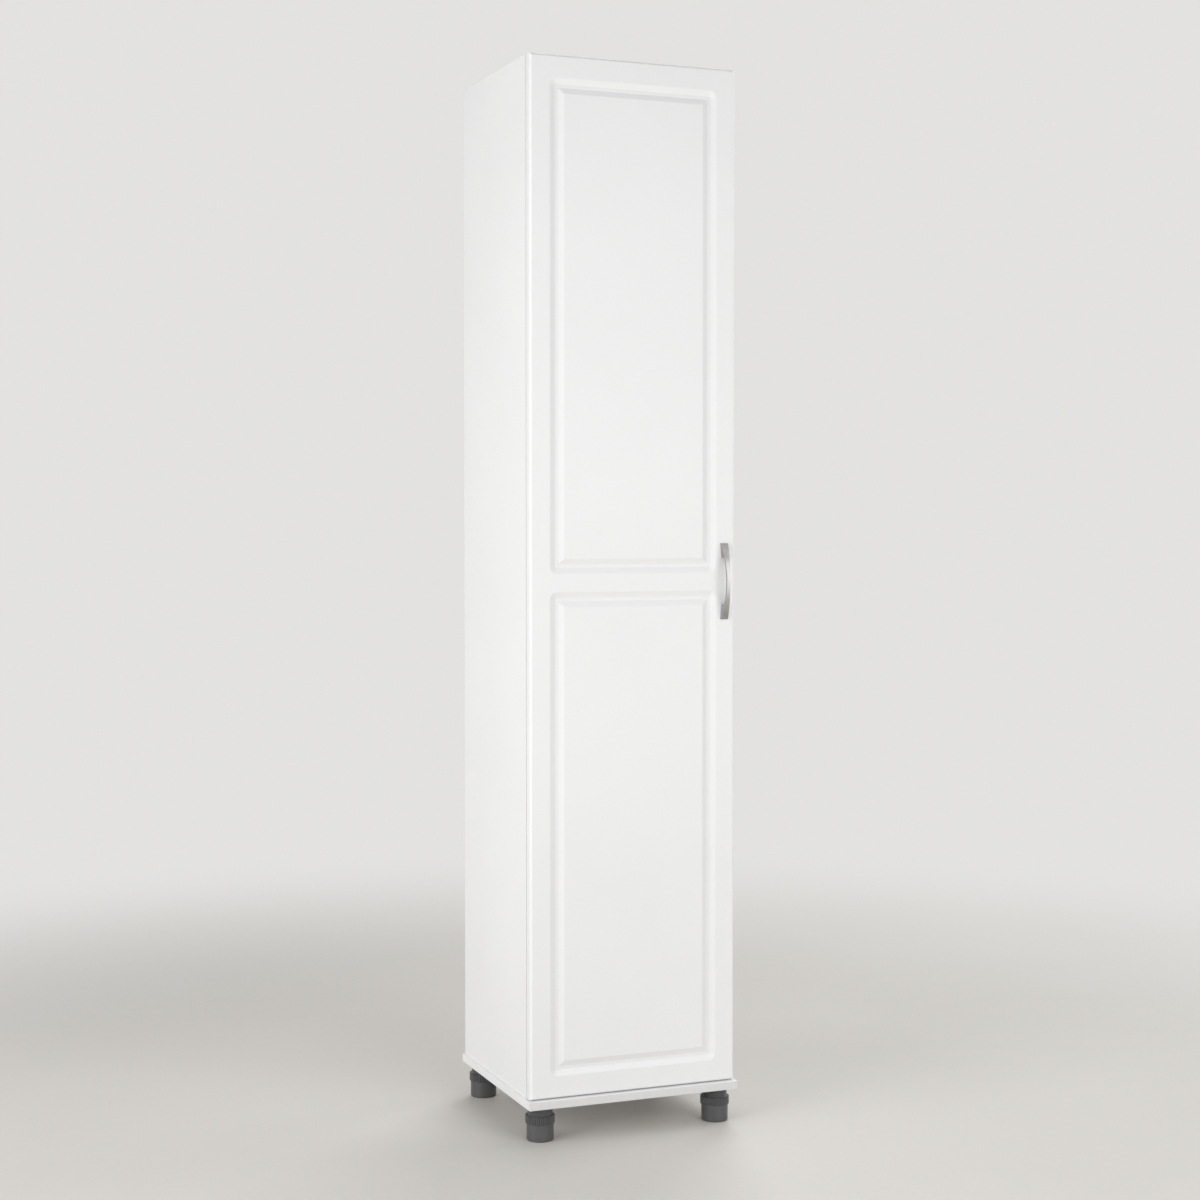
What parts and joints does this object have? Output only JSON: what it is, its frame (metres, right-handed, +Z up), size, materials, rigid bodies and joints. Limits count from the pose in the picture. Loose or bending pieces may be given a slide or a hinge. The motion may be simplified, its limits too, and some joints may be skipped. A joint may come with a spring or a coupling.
{
  "type": "broom cupboard",
  "caption": "Tall narrow floor-standing cupboard with a full-height raised-panel door on concealed hinges, a bow handle and round levelling feet.",
  "frame": {"origin": "on the floor, in the middle of the outline, handle included", "axes": "+X to the right seen from the front, +Y to the back, +Z up; the door faces -Y"},
  "size_m": [0.3984, 0.3844, 1.8875],
  "materials": {
    "white_board": "smooth white satin",
    "dowel_wood": "bare",
    "handle_nickel": "satin nickel plate",
    "hinge_steel": "nickel plate",
    "zinc_steel": "zinc plate",
    "foot_plastic": "matte dark grey",
    "bumper_rubber": "soft clear"
  },
  "bodies": {
    "carcass": {"left_side_panel": "white_board", "right_side_panel": "white_board", "top_panel": "white_board", "fixed_shelf": "white_board", "base_plate": "white_board", "adjustable_shelf": "white_board", "upper_back_panel": "white_board", "lower_back_panel": "white_board", "shelf_pins": "zinc_steel", "cam_locks": "zinc_steel", "cam_bolts": "zinc_steel", "base_screws": "zinc_steel", "wall_bracket": "zinc_steel", "bracket_screw": "zinc_steel", "arm_pins": "zinc_steel", "mount_screws": "zinc_steel", "foot_screws": "zinc_steel", "hinge_arm_1": "hinge_steel", "hinge_mount_1": "hinge_steel", "hinge_arm_2": "hinge_steel", "hinge_mount_2": "hinge_steel", "hinge_arm_3": "hinge_steel", "hinge_mount_3": "hinge_steel", "hinge_arm_4": "hinge_steel", "hinge_mount_4": "hinge_steel", "foot_socket_front_left": "foot_plastic", "foot_socket_front_right": "foot_plastic", "foot_socket_rear_left": "foot_plastic", "foot_socket_rear_right": "foot_plastic", "dowels": "dowel_wood"},
    "hinge_links": {"hinge_link_1": "hinge_steel", "hinge_link_2": "hinge_steel", "hinge_link_3": "hinge_steel", "hinge_link_4": "hinge_steel"},
    "door": {"door_panel": "white_board", "handle": "handle_nickel", "handle_screws": "zinc_steel", "door_bumpers": "bumper_rubber", "cup_pins": "zinc_steel", "cup_screws": "zinc_steel", "hinge_cup_1": "hinge_steel", "hinge_cup_2": "hinge_steel", "hinge_cup_3": "hinge_steel", "hinge_cup_4": "hinge_steel"},
    "foot_front_left": {"foot_cup_front_left": "foot_plastic"},
    "foot_front_right": {"foot_cup_front_right": "foot_plastic"},
    "foot_rear_left": {"foot_cup_rear_left": "foot_plastic"},
    "foot_rear_right": {"foot_cup_rear_right": "foot_plastic"}
  },
  "joints": [
    {"name": "link_swing", "type": "hinge", "parent": "carcass", "child": "hinge_links", "pos_m": [-0.162, -0.15775, 0], "axis": [0, 0, 1], "range_deg": [0, 40]},
    {"name": "door_swing", "type": "hinge", "parent": "hinge_links", "child": "door", "pos_m": [-0.1841, -0.15585, 0], "axis": [0, 0, -1], "range_deg": [0, 150]},
    {"name": "foot_front_left_height", "type": "slide", "parent": "carcass", "child": "foot_front_left", "axis": [0, 0, -1], "range_m": [-0.012, 0.015]},
    {"name": "foot_front_right_height", "type": "slide", "parent": "carcass", "child": "foot_front_right", "axis": [0, 0, -1], "range_m": [-0.012, 0.015]},
    {"name": "foot_rear_left_height", "type": "slide", "parent": "carcass", "child": "foot_rear_left", "axis": [0, 0, -1], "range_m": [-0.012, 0.015]},
    {"name": "foot_rear_right_height", "type": "slide", "parent": "carcass", "child": "foot_rear_right", "axis": [0, 0, -1], "range_m": [-0.012, 0.015]}
  ],
  "couplings": [
    {"joint": "link_swing", "follows": "door_swing", "ratio": 0.26667}
  ]
}
